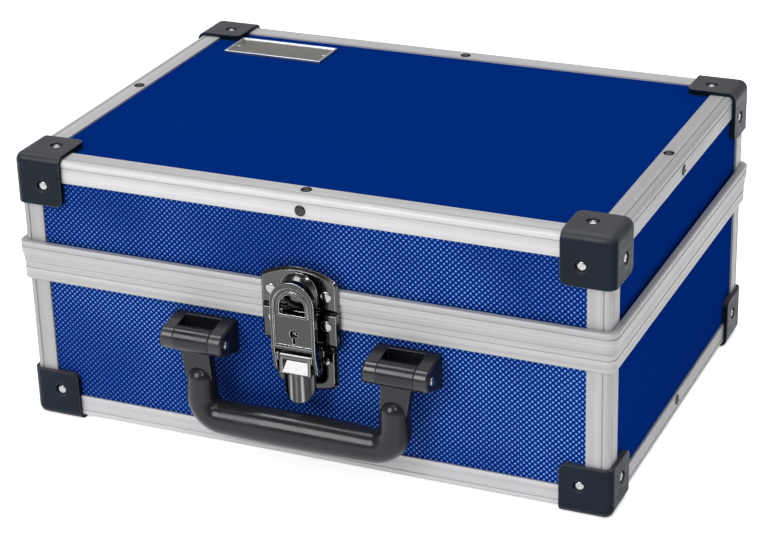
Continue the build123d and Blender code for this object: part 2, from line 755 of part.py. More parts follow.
def lock_cam():
    """Hub that the key turns, with the cam arm that points down when unlocked."""
    lock = parting - lock_drop
    arm_top = lock
    arm_end = lock - lock_cam_reach + lock_cam_width / 2
    arm = area(-lock_cam_width / 2, lock_cam_width / 2, arm_end, arm_top)
    arm += Pos(0, arm_end) * Circle(lock_cam_width / 2)
    disc = Pos(0, lock) * Circle(lock_hub_radius)
    plate = proud(arm + disc, lock_cam_back, lock_cam_back + lock_cam_wall)
    tube = disc - Pos(0, lock) * Circle(lock_hub_radius - lock_hub_wall)
    plate += proud(tube, lock_cam_back, lock_hub_front)
    bore = Pos(0, lock) * Circle(lock_post_radius + pin_clearance)
    return plate - proud(bore, lock_cam_back, lock_hub_front)


# Handle and brackets

def handle_bar():
    """Round bar bent into a U, which thickens from its two arms to the middle of the grip."""
    arm_x = handle_arm_spread / 2
    y = -half_depth - handle_pivot_out
    arm_top = handle_pivot - handle_dome_drop
    grip = handle_pivot - handle_grip_drop
    corners = [(-arm_x, y, arm_top), (-arm_x, y, grip), (0, y, grip)]
    route = FilletPolyline(*corners, radius=handle_bend_radius)
    to_bend_end = arm_top - grip + (pi / 2 - 1) * handle_bend_radius
    bend_end = to_bend_end / (to_bend_end + arm_x - handle_bend_radius)
    sections = []
    for place in (0, bend_end, 1):
        radius = handle_grip_radius - (handle_grip_radius - handle_arm_radius) * (1 - place) ** 2
        plane = Plane(origin=route @ place, z_dir=route % place)
        sections.append(plane * Circle(radius))
    half = sweep(sections, path=route, multisection=True)
    return half + mirror(half, about=Plane.YZ)


def handle():
    """Moulded handle: two eyes, tapering straps and the bent bar."""
    arm_x = handle_arm_spread / 2
    eye_x = handle_spread / 2
    y = -half_depth - handle_pivot_out
    arm_top = handle_pivot - handle_dome_drop
    shape = handle_bar()
    strap_back = handle_pivot_out - handle_strap / 2
    for side in (LEFT, RIGHT):
        eye_half = handle_eye_width / 2 - handle_strap_shoulder
        arm_half = handle_arm_radius - handle_strap_inset
        strap = Polygon(
            (side * eye_x - eye_half, handle_pivot), (side * eye_x + eye_half, handle_pivot),
            (side * arm_x + arm_half, arm_top), (side * arm_x - arm_half, arm_top), align=None,
        )
        shape += proud(strap, strap_back, strap_back + handle_strap)
        shape += Pos(side * arm_x, y, arm_top) * Sphere(handle_arm_radius)
        shape += cross_bore(handle_pivot_out, handle_pivot, handle_eye_radius, handle_eye_width, side * eye_x)
    bore = cross_bore(handle_pivot_out, handle_pivot, handle_pin_radius + pin_clearance, case_width)
    return shape - bore


def bracket(middle):
    """Clevis bracket: a back plate with two nosed ears."""
    top = parting - bracket_top_drop
    width = handle_eye_width + 2 * (bracket_side_gap + bracket_ear)
    root = area(board_face, board_face + bracket_plate, top - bracket_height, top)
    nose = Pos(handle_pivot_out, handle_pivot) * Circle(bracket_nose_radius)
    shape = slab(make_hull(root.edges() + nose.edges()), middle, width)
    sides = [face for face in shape.faces() if abs(abs(face.center().X - middle) - width / 2) < 0.01]
    back_y = -half_depth - board_face
    rims = [edge for face in sides for edge in face.edges() if edge.center().Y < back_y - 0.01]
    shape = chamfer(rims, bracket_bevel)
    gap = handle_eye_width / 2 + bracket_side_gap
    free = area(middle - gap, middle + gap, top - 2 * bracket_height, top + bracket_height)
    shape -= proud(free, board_face + bracket_plate, 3 * handle_pivot_out)
    bore_radius = handle_pin_radius + pin_clearance
    return shape - cross_bore(handle_pivot_out, handle_pivot, bore_radius, width, middle)


def bracket_screws():
    """Seats inside the front board for the screws that hold both brackets."""
    height = parting - bracket_top_drop - bracket_height / 2
    offset = (handle_eye_width + bracket_ear) / 2 + bracket_side_gap
    seats = []
    for middle in (-handle_spread / 2, handle_spread / 2):
        for side in (LEFT, RIGHT):
            origin = (middle + side * offset, -half_depth + rail_wall + board, height)
            seats.append(Plane(origin=origin, z_dir=(0, 1, 0)))
    return seats


# Nameplate

def nameplate_seats():
    face = frame_high - rail_wall + nameplate_sheet
    reach = nameplate_length / 2 - nameplate_rivet_inset
    return [
        Plane(origin=(nameplate_x + side * reach, nameplate_y, face), z_dir=(0, 0, 1))
        for side in (LEFT, RIGHT)
    ]


def nameplate():
    """Bare plate with a raised rim."""
    face = Plane(origin=(nameplate_x, nameplate_y, frame_high - rail_wall), z_dir=(0, 0, 1))
    sheet = Rectangle(nameplate_length, nameplate_depth)
    field = Rectangle(nameplate_length - 2 * nameplate_rim, nameplate_depth - 2 * nameplate_rim)
    plate = extrude(face * sheet, amount=nameplate_sheet + nameplate_rim_height)
    return plate - extrude(face.offset(nameplate_sheet) * field, amount=nameplate_rim_height)


def latch_seats(places, out):
    """Rivet seats on the front, given as (spread, height) pairs."""
    return [
        Plane(origin=(side * spread / 2, -half_depth - out, height), z_dir=(0, -1, 0))
        for spread, height in places
        for side in (LEFT, RIGHT)
    ]


def build():
    """Make every node of the case."""
    base_leaves, lid_leaves, hinge_pins, base_hinge_seats, lid_hinge_seats = hinges()
    keeper_seats = latch_seats([(keeper_rivet_spread, parting + keeper_rivet_rise)], latch_plate_out)
    plate_seats = latch_seats([(base_rivet_spread, parting - base_rivet_drop)], latch_plate_out)
    foot_seats = latch_seats([(foot_rivet_spread, parting - foot_rivet_drop)], base_plate_foot_out)

    post_low = frame_low + rail_stop
    post_high = frame_high - rail_stop
    base_boards = (frame_low + board_edge, base_board_top)
    lid_boards = (lid_board_low, frame_high - board_edge)
    half_case("base", frame_low, 1, (post_low, base_board_top), base_boards, "bottom")
    half_case("lid", frame_high, -1, (lid_board_low, post_high), lid_boards, "top")
    nodes["base_closing_band"] = base_band()
    nodes["lid_closing_band"] = lid_band()
    base_floor = frame_low + slot_floor
    lid_roof = frame_high - slot_floor
    leg_low = base_band_top - band_leg_height - band_fit
    leg_high = lid_band_low + band_leg_height + band_fit
    nodes["base_lining"] = lining(base_floor, leg_low, base_floor, base_floor + lining_floor)
    nodes["lid_lining"] = lining(leg_high, lid_roof, lid_roof - lining_floor, lid_roof)

    nodes["hinge_base_leaves"] = group(base_leaves)
    nodes["hinge_lid_leaves"] = group(lid_leaves)
    nodes["hinge_pins"] = group(hinge_pins)

    nodes["latch_keeper_plate"] = keeper_plate()
    nodes["latch_base_plate"] = base_plate()
    base_rivets = [rivet(seat, latch_rivet_radius, latch_rivet_height) for seat in plate_seats]
    base_rivets += [rivet(seat, foot_rivet_radius, latch_rivet_height) for seat in foot_seats]
    base_rivets += [rivet(seat, case_rivet_radius, case_rivet_height) for seat in base_hinge_seats]
    lid_rivets = [rivet(seat, latch_rivet_radius, latch_rivet_height) for seat in keeper_seats]
    lid_rivets += [rivet(seat, case_rivet_radius, case_rivet_height) for seat in lid_hinge_seats]
    nodes["base_fitting_rivets"] = group(base_rivets)
    nodes["lid_fitting_rivets"] = group(lid_rivets)

    cheek_outer = latch_x_bands()[1] + cheek_wall
    nodes["latch_lever"] = lever()
    nodes["latch_lever_pin"] = cross_bore(
        lever_pivot_out, parting - lever_pivot_drop, latch_pin_radius, 2 * cheek_outer
    )
    nodes["latch_loop"] = loop()
    nodes["latch_loop_pin"] = cross_bore(
        loop_pivot_out, parting - loop_pivot_drop, latch_pin_radius, loop_width
    )
    nodes["lock_case"] = lock_case()
    nodes["lock_cam"] = lock_cam()

    bracket_width = handle_eye_width + 2 * (bracket_side_gap + bracket_ear)
    for name, side in (("left", LEFT), ("right", RIGHT)):
        nodes[f"handle_bracket_{name}"] = bracket(side * handle_spread / 2)
    nodes["handle_pins"] = group(
        cross_bore(
            handle_pivot_out, handle_pivot, handle_pin_radius,
            bracket_width + 2 * handle_pin_proud, side * handle_spread / 2,
        )
        for side in (LEFT, RIGHT)
    )
    nodes["bracket_screws"] = group(
        rivet(seat, bracket_screw_radius, bracket_screw_head) for seat in bracket_screws()
    )
    nodes["carry_handle"] = handle()

    nodes["nameplate"] = nameplate()
    nodes["nameplate_rivets"] = group(
        rivet(seat, nameplate_rivet_radius, nameplate_rivet_height) for seat in nameplate_seats()
    )


build()
os.makedirs("parts", exist_ok=True)
for name, shape in nodes.items():
    export_step(Pos(0, centring, 0) * shape, f"parts/{name}.step")
print(f"{len(nodes)} nodes")
print(f"parting plane {parting:.3f}, handle pivot {handle_pivot:.3f}, centring {centring:.3f}")
print(f"latch pivots {hypot(lever_pivot_out - loop_pivot_out, loop_pivot_drop - lever_pivot_drop):.3f} apart")
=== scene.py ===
from math import cos, pi, radians, sin

import bmesh
import bpy
from mathutils import Matrix, Vector


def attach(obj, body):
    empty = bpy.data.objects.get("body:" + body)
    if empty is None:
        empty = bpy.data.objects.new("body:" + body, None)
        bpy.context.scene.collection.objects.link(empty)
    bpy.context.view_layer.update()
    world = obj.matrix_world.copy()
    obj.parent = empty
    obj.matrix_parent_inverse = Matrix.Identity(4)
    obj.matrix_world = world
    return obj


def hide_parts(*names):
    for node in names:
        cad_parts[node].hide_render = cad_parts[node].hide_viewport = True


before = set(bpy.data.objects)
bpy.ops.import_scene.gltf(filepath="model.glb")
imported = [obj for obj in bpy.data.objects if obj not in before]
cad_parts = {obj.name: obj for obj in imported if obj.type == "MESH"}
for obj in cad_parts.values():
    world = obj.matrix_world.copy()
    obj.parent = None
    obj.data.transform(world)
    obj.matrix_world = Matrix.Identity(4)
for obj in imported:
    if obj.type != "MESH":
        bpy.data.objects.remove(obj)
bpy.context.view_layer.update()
scene = bpy.context.scene

MM = 0.001
X, Y, Z = range(3)
WHITE = (1.0, 1.0, 1.0)

# Places shared with the CAD model, in metres
CENTRING = 6.85 * MM                # the middle of the rails lies this far behind the origin
CASE_MIDDLE = Vector((0.0, CENTRING, 0.078))
PLATE_FIELD_HEIGHT = 152.8 * MM     # the nameplate's sunk field, over the floor

# Camera, found by fitting the case's straight edges to the photograph
CAMERA_PLACE = (0.47264, -1.07009 + CENTRING, 0.59017 + 2.2 * MM)
CAMERA_AZIMUTH = 24.1555
CAMERA_ELEVATION = 24.3764
CAMERA_ROLL = -1.6601
CAMERA_LENS = 107.29
SENSOR_WIDTH = 36.0

# Blue facing with a staggered grid of embossed dots
DOT_PITCH = 3.1 * MM                # along a row
DOT_RELIEF = 0.10 * MM
FACING_BLUE = (0.0, 0.022, 0.185)
# Painted highlight: the light colour of the dots stands in for glints of light off the embossing
DOT_GLINT = (0.14, 0.33, 0.84)
GLINT_RIM = 0.3                       # share of the painted glint's colour at a dot's rim
DIP_SHADE = 0.35                    # painted shade: how much darker the dips between the dots are
GLINT_FADING = 0.78                   # weakest of the painted glints on the dots, where they fade in patches

# Side: axes along and up the rows, painted shade of the blue for how that side is lit, strength of the painted glints
# on the dots, gloss
FACINGS = {
    "front": (X, Z, 0.68, 1.0, 0.02),
    "back": (X, Z, 0.72, 0.6, 0.02),
    "left": (Y, Z, 0.95, 0.25, 0.01),
    "right": (Y, Z, 0.76, 0.02, 0.0),
    "top": (X, Y, 0.68, 0.02, 0.0),
    "bottom": (X, Y, 1.0, 0.1, 0.01),
}

# Satin aluminium; scales of its lines and bands are waves per metre along them and across them
RAIL_METALLIC = 0.35
RAIL_DARK = (0.34, 0.337, 0.345)
RAIL_LIGHT = (0.54, 0.535, 0.545)
RAIL_EDGE = 0.3 * MM
RAIL_RELIEF = 0.02 * MM
LINES_ALONG, LINES_ACROSS = 7.0, 3200.0
BANDS_ALONG, BANDS_ACROSS = 1.2, 260.0
MOUTH_BANDS_ACROSS = 300.0

# Dark moulded plastic
GRAIN = 0.35 * MM
GRAIN_RELIEF = 0.02 * MM
# Painted highlight: colour that lightens the rounded edges of the moulded plastic
PLASTIC_EDGE_GLINT = (0.050, 0.054, 0.064)
# Painted sheen: colours that lighten the upward faces of each plastic
CORNER_TOP_SHEEN = (0.042, 0.043, 0.048)
HANDLE_TOP_SHEEN = (0.013, 0.013, 0.016)
BRACKET_TOP_SHEEN = (0.016, 0.016, 0.020)
CORNER_ROUNDING = 0.7 * MM
HANDLE_ROUNDING = 0.6 * MM
SIDE_GLOSS = 0.3                    # share of the gloss that is left on faces towards the right, a painted shade that darkens that side

# Plating, its tones kept dark as a painted shade for the dark room it reflects
PLATING_EDGE = 0.45 * MM
PLATING_RELIEF = 0.12 * MM
DUST_SHADE = 0.18                   # darkening by dust
EDGE_ROUGHNESS = 0.26               # keeps the glints on the edges unbroken
LATCH_EDGE_GLINT = 0.60                   # painted highlight: tone of the latch's bright edges
LATCH_GLOSS = (0.05, 0.12)          # lowest and highest roughness

# Painted reflections: sideways lean of a curved face and its tone, standing in for upright reflections on the lever's
# tab
LEVER_REFLECTIONS = (
    (0.0, 0.11), (0.03, 0.11), (0.07, 0.045), (0.18, 0.05), (0.26, 0.32), (0.36, 0.04), (0.58, 0.025), (0.72, 0.14),
    (0.95, 0.08),
)

# Bare nameplate
PLATE_EDGE = 0.35 * MM
PLATE_RELIEF = 0.015 * MM
PLATE_DARK = (0.25, 0.24, 0.22)
PLATE_LIGHT = (0.42, 0.40, 0.37)
# Painted reflection: the blue-white of the raised rim and the edges
PLATE_RIM_GLINT = (0.70, 0.74, 0.84)
RIM_LOW, RIM_HIGH = 0.15 * MM, 0.3 * MM     # heights over the field where the painted reflection on the rim begins and is full

# Foam
FOAM_RELIEF = 0.12 * MM

# Studio
FLOOR_SIZE = 24.0
FLOOR_GLOW = 0.55                   # light given off by the floor, which keeps the shadows pale
WORLD_LIGHT = 0.24                  # brightness of the room overhead
HORIZON_LIGHT = 0.92                # and towards the horizon
HORIZON_END, ROOM_START = 0.10, 0.30    # heights of a direction between which the one turns into the other

# Light: name, place, target, size, power in watts
LIGHTS = (
    ("key_box", (-0.9, -2.0, 1.58), (0, 0, 0.05), (1.2, 1.25), 42.0),
    ("top_box", (0.1, 0.4, 2.3), (0, 0.2, 0.0), (2.6, 2.6), 48.0),
    ("strip_box", (-0.9, 0.0, 2.1), (0, -0.1, 0.08), (0.5, 0.5), 6.0),
    ("small_box", (0.85, -1.45, 1.9), (0, 0, 0.05), (0.26, 0.26), 8.0),
)


class Graph:
    """Small helper round one material's node tree."""

    def __init__(self, name, **sockets):
        self.material = bpy.data.materials.new(name)
        self.material.use_nodes = True
        self.tree = self.material.node_tree
        self.tree.nodes.clear()
        output = self.tree.nodes.new("ShaderNodeOutputMaterial")
        self.shader = self.tree.nodes.new("ShaderNodeBsdfPrincipled")
        self.tree.links.new(self.shader.outputs[0], output.inputs[0])
        for socket, value in sockets.items():
            self.set(self.shader, socket.replace("_", " "), value)

    def set(self, node, socket, value):
        target = node.inputs[socket]
        if isinstance(value, bpy.types.NodeSocket):
            self.tree.links.new(value, target)
        elif target.type == "RGBA" and len(value) == 3:
            target.default_value = (*value, 1.0)
        else:
            target.default_value = value

    def finish(self, socket, value):
        self.set(self.shader, socket, value)

    def node(self, kind, out=0, props=None, **sockets):
        """Add a node and return one of its outputs. A socket named _2 is the third one, others go by their names."""
        node = self.tree.nodes.new("ShaderNode" + kind)
        for prop, value in (props or {}).items():
            setattr(node, prop, value)
        for socket, value in sockets.items():
            name = int(socket[1:]) if socket[0] == "_" and socket[1:].isdigit() else socket.replace("_", " ")
            self.set(node, name, value)
        return node.outputs[out]

    def math(self, operation, a, b=0.0):
        return self.node("Math", props={"operation": operation}, _0=a, _1=b)

    def blend(self, a, b, share):
        """Sum of two values, the second by its share and the first by the rest."""
        return self.math("ADD", self.math("MULTIPLY", a, 1 - share), self.math("MULTIPLY", b, share))

    def scaled(self, vector, scale):
        return self.node("Mapping", Vector=vector, Scale=scale)

    def place(self):
        return self.node("TexCoord", out="Object")

    def parts(self, vector):
        """The x, y and z of a vector."""
        return self.node("SeparateXYZ", Vector=vector).node.outputs

    def noise(self, vector, scale=1.0, detail=2.0, roughness=0.5):
        return self.node("TexNoise", Vector=vector, Scale=scale, Detail=detail, Roughness=roughness)

    def ramp(self, factor, *stops):
        """Colour by a factor, through stops of a position and a colour."""
        output = self.node("ValToRGB", Fac=factor)
        elements = output.node.color_ramp.elements
        while len(elements) < len(stops):
            elements.new(0.5)
        for element, (position, color) in zip(elements, stops):
            element.position = position
            element.color = (*color, 1.0)
        return output

    def mixed(self, factor, a, b):
        """Colour a where the factor is 0, and b where it is 1."""
        return self.node("Mix", out=2, props={"data_type": "RGBA"}, _0=factor, _6=a, _7=b)

    def range(self, value, low, high, to_low=0.0, to_high=1.0):
        return self.node(
            "MapRange", Value=value, From_Min=low, From_Max=high, To_Min=to_low, To_Max=to_high
        )

    def soft_edges(self, radius):
        """Normal that rounds the edges of the piece, as wear and plating do."""
        return self.node("Bevel", props={"samples": 8}, Radius=radius)

    def edge_mask(self, rounded):
        """1 on the rounded edges of the piece and 0 on its faces."""
        plain = self.node("NewGeometry", out="Normal")
        alike = self.node("VectorMath", out="Value", props={"operation": "DOT_PRODUCT"}, _0=rounded, _1=plain)
        return self.range(alike, 0.985, 0.90)

    def bump(self, height, distance, strength, normal=None):
        output = self.node("Bump", Height=height, Distance=distance, Strength=strength)
        if normal is not None:
            self.set(output.node, "Normal", normal)
        return output


def grey(value):
    return (value, value, value)


def shaded(color, shade):
    return tuple(c * shade for c in color)


def toward(color, other, share):
    return tuple(c + share * (o - c) for c, o in zip(color, other))


def facing(side, along, up, shade, dot_glints, gloss):
    """Blue plastic facing with an embossed dot pattern, for boards that face one side; shade is a painted shade for
    that side, the dot tops carry painted glints and the dips painted shade.
    """
    g = Graph("facing_" + side, Roughness=0.5, Specular_IOR_Level=gloss)
    place = g.place()
    axes = g.parts(place)
    rows = [g.math("COSINE", g.math("MULTIPLY", axes[axis], 2 * pi / DOT_PITCH)) for axis in (along, up)]
    height = g.range(g.math("MULTIPLY", *rows), -1.0, 1.0)
    # Painted highlight: the glints on the dots are weaker in patches
    glint_fade = g.range(g.noise(place, scale=9.0, detail=3.0), 0.35, 0.65, GLINT_FADING, 1.0)
    plain = shaded(FACING_BLUE, shade)
    light = toward(plain, DOT_GLINT, dot_glints)
    rim = toward(plain, light, GLINT_RIM)
    # Painted shade in the dips between the dots
    dip = shaded(plain, 1 - DIP_SHADE * dot_glints)
    glinting = g.math("MULTIPLY", height, glint_fade)
    g.finish("Base Color", g.ramp(glinting, (0.0, dip), (0.52, plain), (0.74, rim), (0.95, light)))
    g.finish("Normal", g.bump(height, DOT_RELIEF, 0.6))
    return g.material


def satin_metal(name, line_scales, band_scales, band_share, shade):
    """Satin aluminium with fine lines and broader bands from the extrusion, its tones scaled by shade, a painted
    shade for how the piece is lit.
    """
    g = Graph(name, Metallic=RAIL_METALLIC)
    place = g.place()
    lines = g.noise(g.scaled(place, line_scales), detail=3.0, roughness=0.6)
    bands = g.noise(g.scaled(place, band_scales))
    smudges = g.noise(place, scale=22.0, detail=3.0, roughness=0.55)
    tone = g.blend(lines, bands, band_share)
    g.finish("Base Color", g.ramp(tone, (0.25, shaded(RAIL_DARK, shade)), (0.75, shaded(RAIL_LIGHT, shade))))
    g.finish("Roughness", g.range(smudges, 0.3, 0.7, 0.42, 0.55))
    g.finish("Normal", g.bump(tone, RAIL_RELIEF, 0.5, g.soft_edges(RAIL_EDGE)))
    return g.material


def rail_metal(name, along, shade):
    """Aluminium of a rail whose extrusion runs along one axis."""
    line_scales = [LINES_ALONG if axis == along else LINES_ACROSS for axis in (X, Y, Z)]
    band_scales = [BANDS_ALONG if axis == along else BANDS_ACROSS for axis in (X, Y, Z)]
    return satin_metal(name, line_scales, band_scales, 0.65, shade)


def moulded(name, tone, roughness, gloss, rounding, dust_and_sheen):
    """Dark moulded plastic with a fine grain, polished patches and faint scuffs, a painted highlight along its
    rounded edges and a painted sheen that lightens its upper faces.
    """
    g = Graph(name)
    place = g.place()
    pores = g.noise(place, scale=1.0 / GRAIN, detail=3.0, roughness=0.6)
    patches = g.noise(place, scale=38.0, detail=4.0, roughness=0.6)
    scuffs = g.noise(g.scaled(place, (60.0, 60.0, 420.0)), detail=4.0, roughness=0.7)
    rounded = g.soft_edges(rounding)
    faces = g.ramp(patches, (0.3, shaded(tone, 0.7)), (0.7, shaded(tone, 1.4)))
    # Painted highlight along the rounded edges
    glinting = g.mixed(g.edge_mask(rounded), faces, PLASTIC_EDGE_GLINT)
    own_frame = {"vector_type": "NORMAL", "convert_from": "WORLD", "convert_to": "OBJECT"}
    lean = g.parts(g.node("VectorTransform", props=own_frame, Vector=rounded))
    # Painted sheen: faces that lean upwards are lightened towards the top sheen colour
    g.finish("Base Color", g.mixed(g.range(lean[Z], 0.15, 0.95), glinting, dust_and_sheen))
    # Painted shade: faces towards the right keep less gloss
    g.finish("Specular IOR Level", g.range(lean[X], 0.5, 0.95, gloss, SIDE_GLOSS * gloss))
    g.finish("Roughness", g.range(g.blend(patches, scuffs, 0.4), 0.38, 0.62, *roughness))
    g.finish("Normal", g.bump(pores, GRAIN_RELIEF, 0.35, rounded))
    return g.material


def plated(name, tone, roughness, edge, bands=()):
    """Plating with faint waviness and dusty patches, its tone kept dark as a painted shade for the dark room it
    reflects, and a painted highlight that brightens its edges.

    bands gives tones by how far a curved face leans sideways, painted reflections in upright bands.
    """
    g = Graph(name, Metallic=1.0)
    place = g.place()
    waves = g.noise(place, scale=95.0)
    dust_and_sheen = g.noise(place, scale=620.0, detail=4.0, roughness=0.65)
    rounded = g.soft_edges(PLATING_EDGE)
    edges = g.edge_mask(rounded)
    clean = grey(tone)
    if bands:
        # Painted reflections, toned by how far the face leans sideways
        lean = g.math("ABSOLUTE", g.parts(g.node("TexCoord", out="Normal"))[X])
        clean = g.ramp(lean, *((position, grey(value)) for position, value in bands))
    dusty = g.mixed(g.range(dust_and_sheen, 0.3, 0.65, DUST_SHADE, 0.0), clean, grey(0.0))
    # Painted highlight: the rounded edges take the bright edge tone
    g.finish("Base Color", g.mixed(edges, dusty, grey(edge)))
    polish = g.range(dust_and_sheen, 0.35, 0.7, *roughness)
    g.finish("Roughness", g.math("MAXIMUM", polish, g.math("MULTIPLY", edges, EDGE_ROUGHNESS)))
    g.finish("Normal", g.bump(waves, PLATING_RELIEF, 0.45, rounded))
    return g.material


def brushed_plate(name):
    """Bare nameplate, with a brushed warm grey field inside a raised rim that carries a painted bright reflection."""
    g = Graph(name, Metallic=0.9)
    place = g.place()
    rounded = g.soft_edges(PLATE_EDGE)
    lines = g.noise(g.scaled(place, (25.0, 5200.0, 400.0)), detail=3.0, roughness=0.6)
    field = g.ramp(lines, (0.3, PLATE_DARK), (0.7, PLATE_LIGHT))
    # Painted reflection on the rim and the edges
    rim = g.range(g.parts(place)[Z], PLATE_FIELD_HEIGHT + RIM_LOW, PLATE_FIELD_HEIGHT + RIM_HIGH)
    bright = g.math("MAXIMUM", rim, g.edge_mask(rounded))
    g.finish("Base Color", g.mixed(bright, field, PLATE_RIM_GLINT))
    g.finish("Roughness", g.range(lines, 0.3, 0.7, 0.24, 0.38))
    g.finish("Normal", g.bump(lines, PLATE_RELIEF, 0.5, rounded))
    return g.material


def foam(name):
    """Thin dark foam lining."""
    g = Graph(name, Roughness=0.95)
    place = g.place()
    cells = g.noise(place, scale=1400.0, detail=4.0, roughness=0.7)
    patches = g.noise(place, scale=18.0, detail=3.0)
    g.finish("Base Color", g.ramp(patches, (0.3, grey(0.022)), (0.7, grey(0.036))))
    g.finish("Normal", g.bump(cells, FOAM_RELIEF, 0.8))
    return g.material


def floor_paint(name):
    """Pale floor that gives off some light of its own."""
    g = Graph(name, Roughness=0.85, Specular_IOR_Level=0.0)
    g.finish("Emission Color", WHITE)
    g.finish("Emission Strength", FLOOR_GLOW)
    tint = g.noise(g.place(), scale=2.5, detail=3.0)
    g.finish("Base Color", g.ramp(tint, (0.3, grey(0.90)), (0.7, grey(0.92))))
    return g.material


# Boards for each side, lit and shaded copies of one blue facing
BOARDS = {side: facing(side, *values) for side, values in FACINGS.items()}
# The last number is a painted shade: lit and shaded copies of one aluminium for rails along x and y, uprights, the
# right-hand rails, the left uprights and the closing bands
METAL_X = rail_metal("rail_along_x", X, 0.94)
METAL_Y = rail_metal("rail_along_y", Y, 0.95)
SHADED_METAL_Y_RIGHT = rail_metal("right_rail_painted_shade", Y, 0.72)
METAL_Z = rail_metal("rail_upright", Z, 0.71)
SHADED_METAL_Z_LEFT = rail_metal("left_rail_upright", Z, 0.65)
BAND_METAL = satin_metal(
    "band_metal", (LINES_ALONG, LINES_ALONG, LINES_ACROSS), (BANDS_ALONG, BANDS_ALONG, MOUTH_BANDS_ACROSS), 0.7, 0.76
)
CORNER_PLASTIC = moulded(
    "corner_plastic", (0.002, 0.006, 0.013), (0.12, 0.42), 0.12, CORNER_ROUNDING, CORNER_TOP_SHEEN
)
HANDLE_PLASTIC = moulded(
    "handle_plastic", (0.007, 0.007, 0.011), (0.13, 0.27), 0.30, HANDLE_ROUNDING, HANDLE_TOP_SHEEN
)
BRACKET_PLASTIC = moulded(
    "bracket_plastic", (0.006, 0.006, 0.009), (0.14, 0.32), 0.46, HANDLE_ROUNDING, BRACKET_TOP_SHEEN
)
# Tones of the plating are kept dark, a painted shade for the dark room it reflects; the edge tones are painted
# highlights
CHROME = plated("latch_plating", 0.062, LATCH_GLOSS, LATCH_EDGE_GLINT)
LEVER_CHROME = plated("lever_plating", 0.11, LATCH_GLOSS, LATCH_EDGE_GLINT, LEVER_REFLECTIONS)
KEEPER_CHROME = plated("keeper_plating", 0.075, (0.12, 0.24), LATCH_EDGE_GLINT)
LATCH_STEEL = plated("latch_rivet_plating", 0.34, (0.07, 0.16), 0.6)
STEEL = plated("rivet_plating", 0.42, (0.16, 0.30), 0.7)
DARK_STEEL = plated("dark_rivet_plating", 0.045, (0.10, 0.20), 0.35)
HINGE_METAL = plated("hinge_plating", 0.40, (0.14, 0.26), 0.7)
PLATE = brushed_plate("bare_plate")
LINING = foam("foam_lining")

# Finishes of nodes that go by their whole names
NAMED_FINISHES = {
    "nameplate": PLATE,
    "carry_handle": HANDLE_PLASTIC,
    "handle_bracket_left": BRACKET_PLASTIC,
    "handle_bracket_right": BRACKET_PLASTIC,
    "latch_keeper_plate": KEEPER_CHROME,
    "latch_lever": LEVER_CHROME,
    "handle_pins": STEEL,
    "bracket_screws": STEEL,
    "hinge_base_leaves": HINGE_METAL,
    "hinge_lid_leaves": HINGE_METAL,
    "hinge_pins": HINGE_METAL,
}


def material_of(node):
    """Finish of one CAD node, from its name."""
    if node in NAMED_FINISHES:
        return NAMED_FINISHES[node]
    words = node.split("_")
    if "panel" in words:
        return BOARDS[words[1]]
    if "rail" in words:
        if words[-1] in ("front", "back"):
            return METAL_X
        return SHADED_METAL_Y_RIGHT if words[-1] == "right" else METAL_Y
    if "post" in words:
        return SHADED_METAL_Z_LEFT if words[-1] == "left" else METAL_Z
    if "band" in words:
        return BAND_METAL
    if "protector" in words:
        return CORNER_PLASTIC
    if "lining" in words:
        return LINING
    if "rivets" in words:
        return STEEL
    return CHROME


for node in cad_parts:
    obj = bpy.data.objects[node]
    material = material_of(node)
    if not obj.material_slots:
        obj.data.materials.append(material)
    for holder in obj.material_slots:
        holder.material = material


# Rivets with smooth domed heads, at the places of the CAD rivets

HEAD_SIDES = 40
DOME_STEPS = 7
RAIL_RIVET_REACH = 1.0 * MM         # how far from a middle plane of the case a rail rivet may lie
SUNK_SHARE = 0.8                    # radius of a head in a recess, of the CAD head's
HOLE_SHARE = 0.3                    # radius of a blind rivet's hollow, of the head's
PIN_CAP_SHARE = 1.02                # radius of a pin's cap, of the pin's
PIN_CAP_HEIGHT = 0.75 * MM
PIN_CAP_SINK = 0.1 * MM
MERGE_DISTANCE = 1e-6
DOWNWARD = -0.5                     # a z below this means that an axis points down

# Radius and height over the seat of the moulded recess round a rivet, in millimetres
RECESS_SLOPE = (
    (4.16, 1.18), (4.12, 1.215), (3.95, 1.235), (3.68, 1.215), (3.55, 1.12), (3.44, 0.90), (3.34, 0.60), (3.22, 0.25),
    (3.10, 0.02),
)


def loose_parts(node):
    """Lowest and highest corner of every separate solid of a CAD node."""
    obj = bpy.data.objects[node]
    mesh = bmesh.new()
    mesh.from_mesh(obj.data)
    bmesh.ops.remove_doubles(mesh, verts=mesh.verts, dist=MERGE_DISTANCE)
    left = set(mesh.verts)
    parts = []
    for seed in list(mesh.verts):
        if seed not in left:
            continue
        left.discard(seed)
        found, queue = [seed], [seed]
        while queue:
            for edge in queue.pop().link_edges:
                for other in edge.verts:
                    if other in left:
                        left.discard(other)
                        found.append(other)
                        queue.append(other)
        points = [obj.matrix_world @ v.co for v in found]
        parts.append([Vector(pick(p[axis] for p in points) for axis in (X, Y, Z)) for pick in (min, max)])
    mesh.free()
    return parts


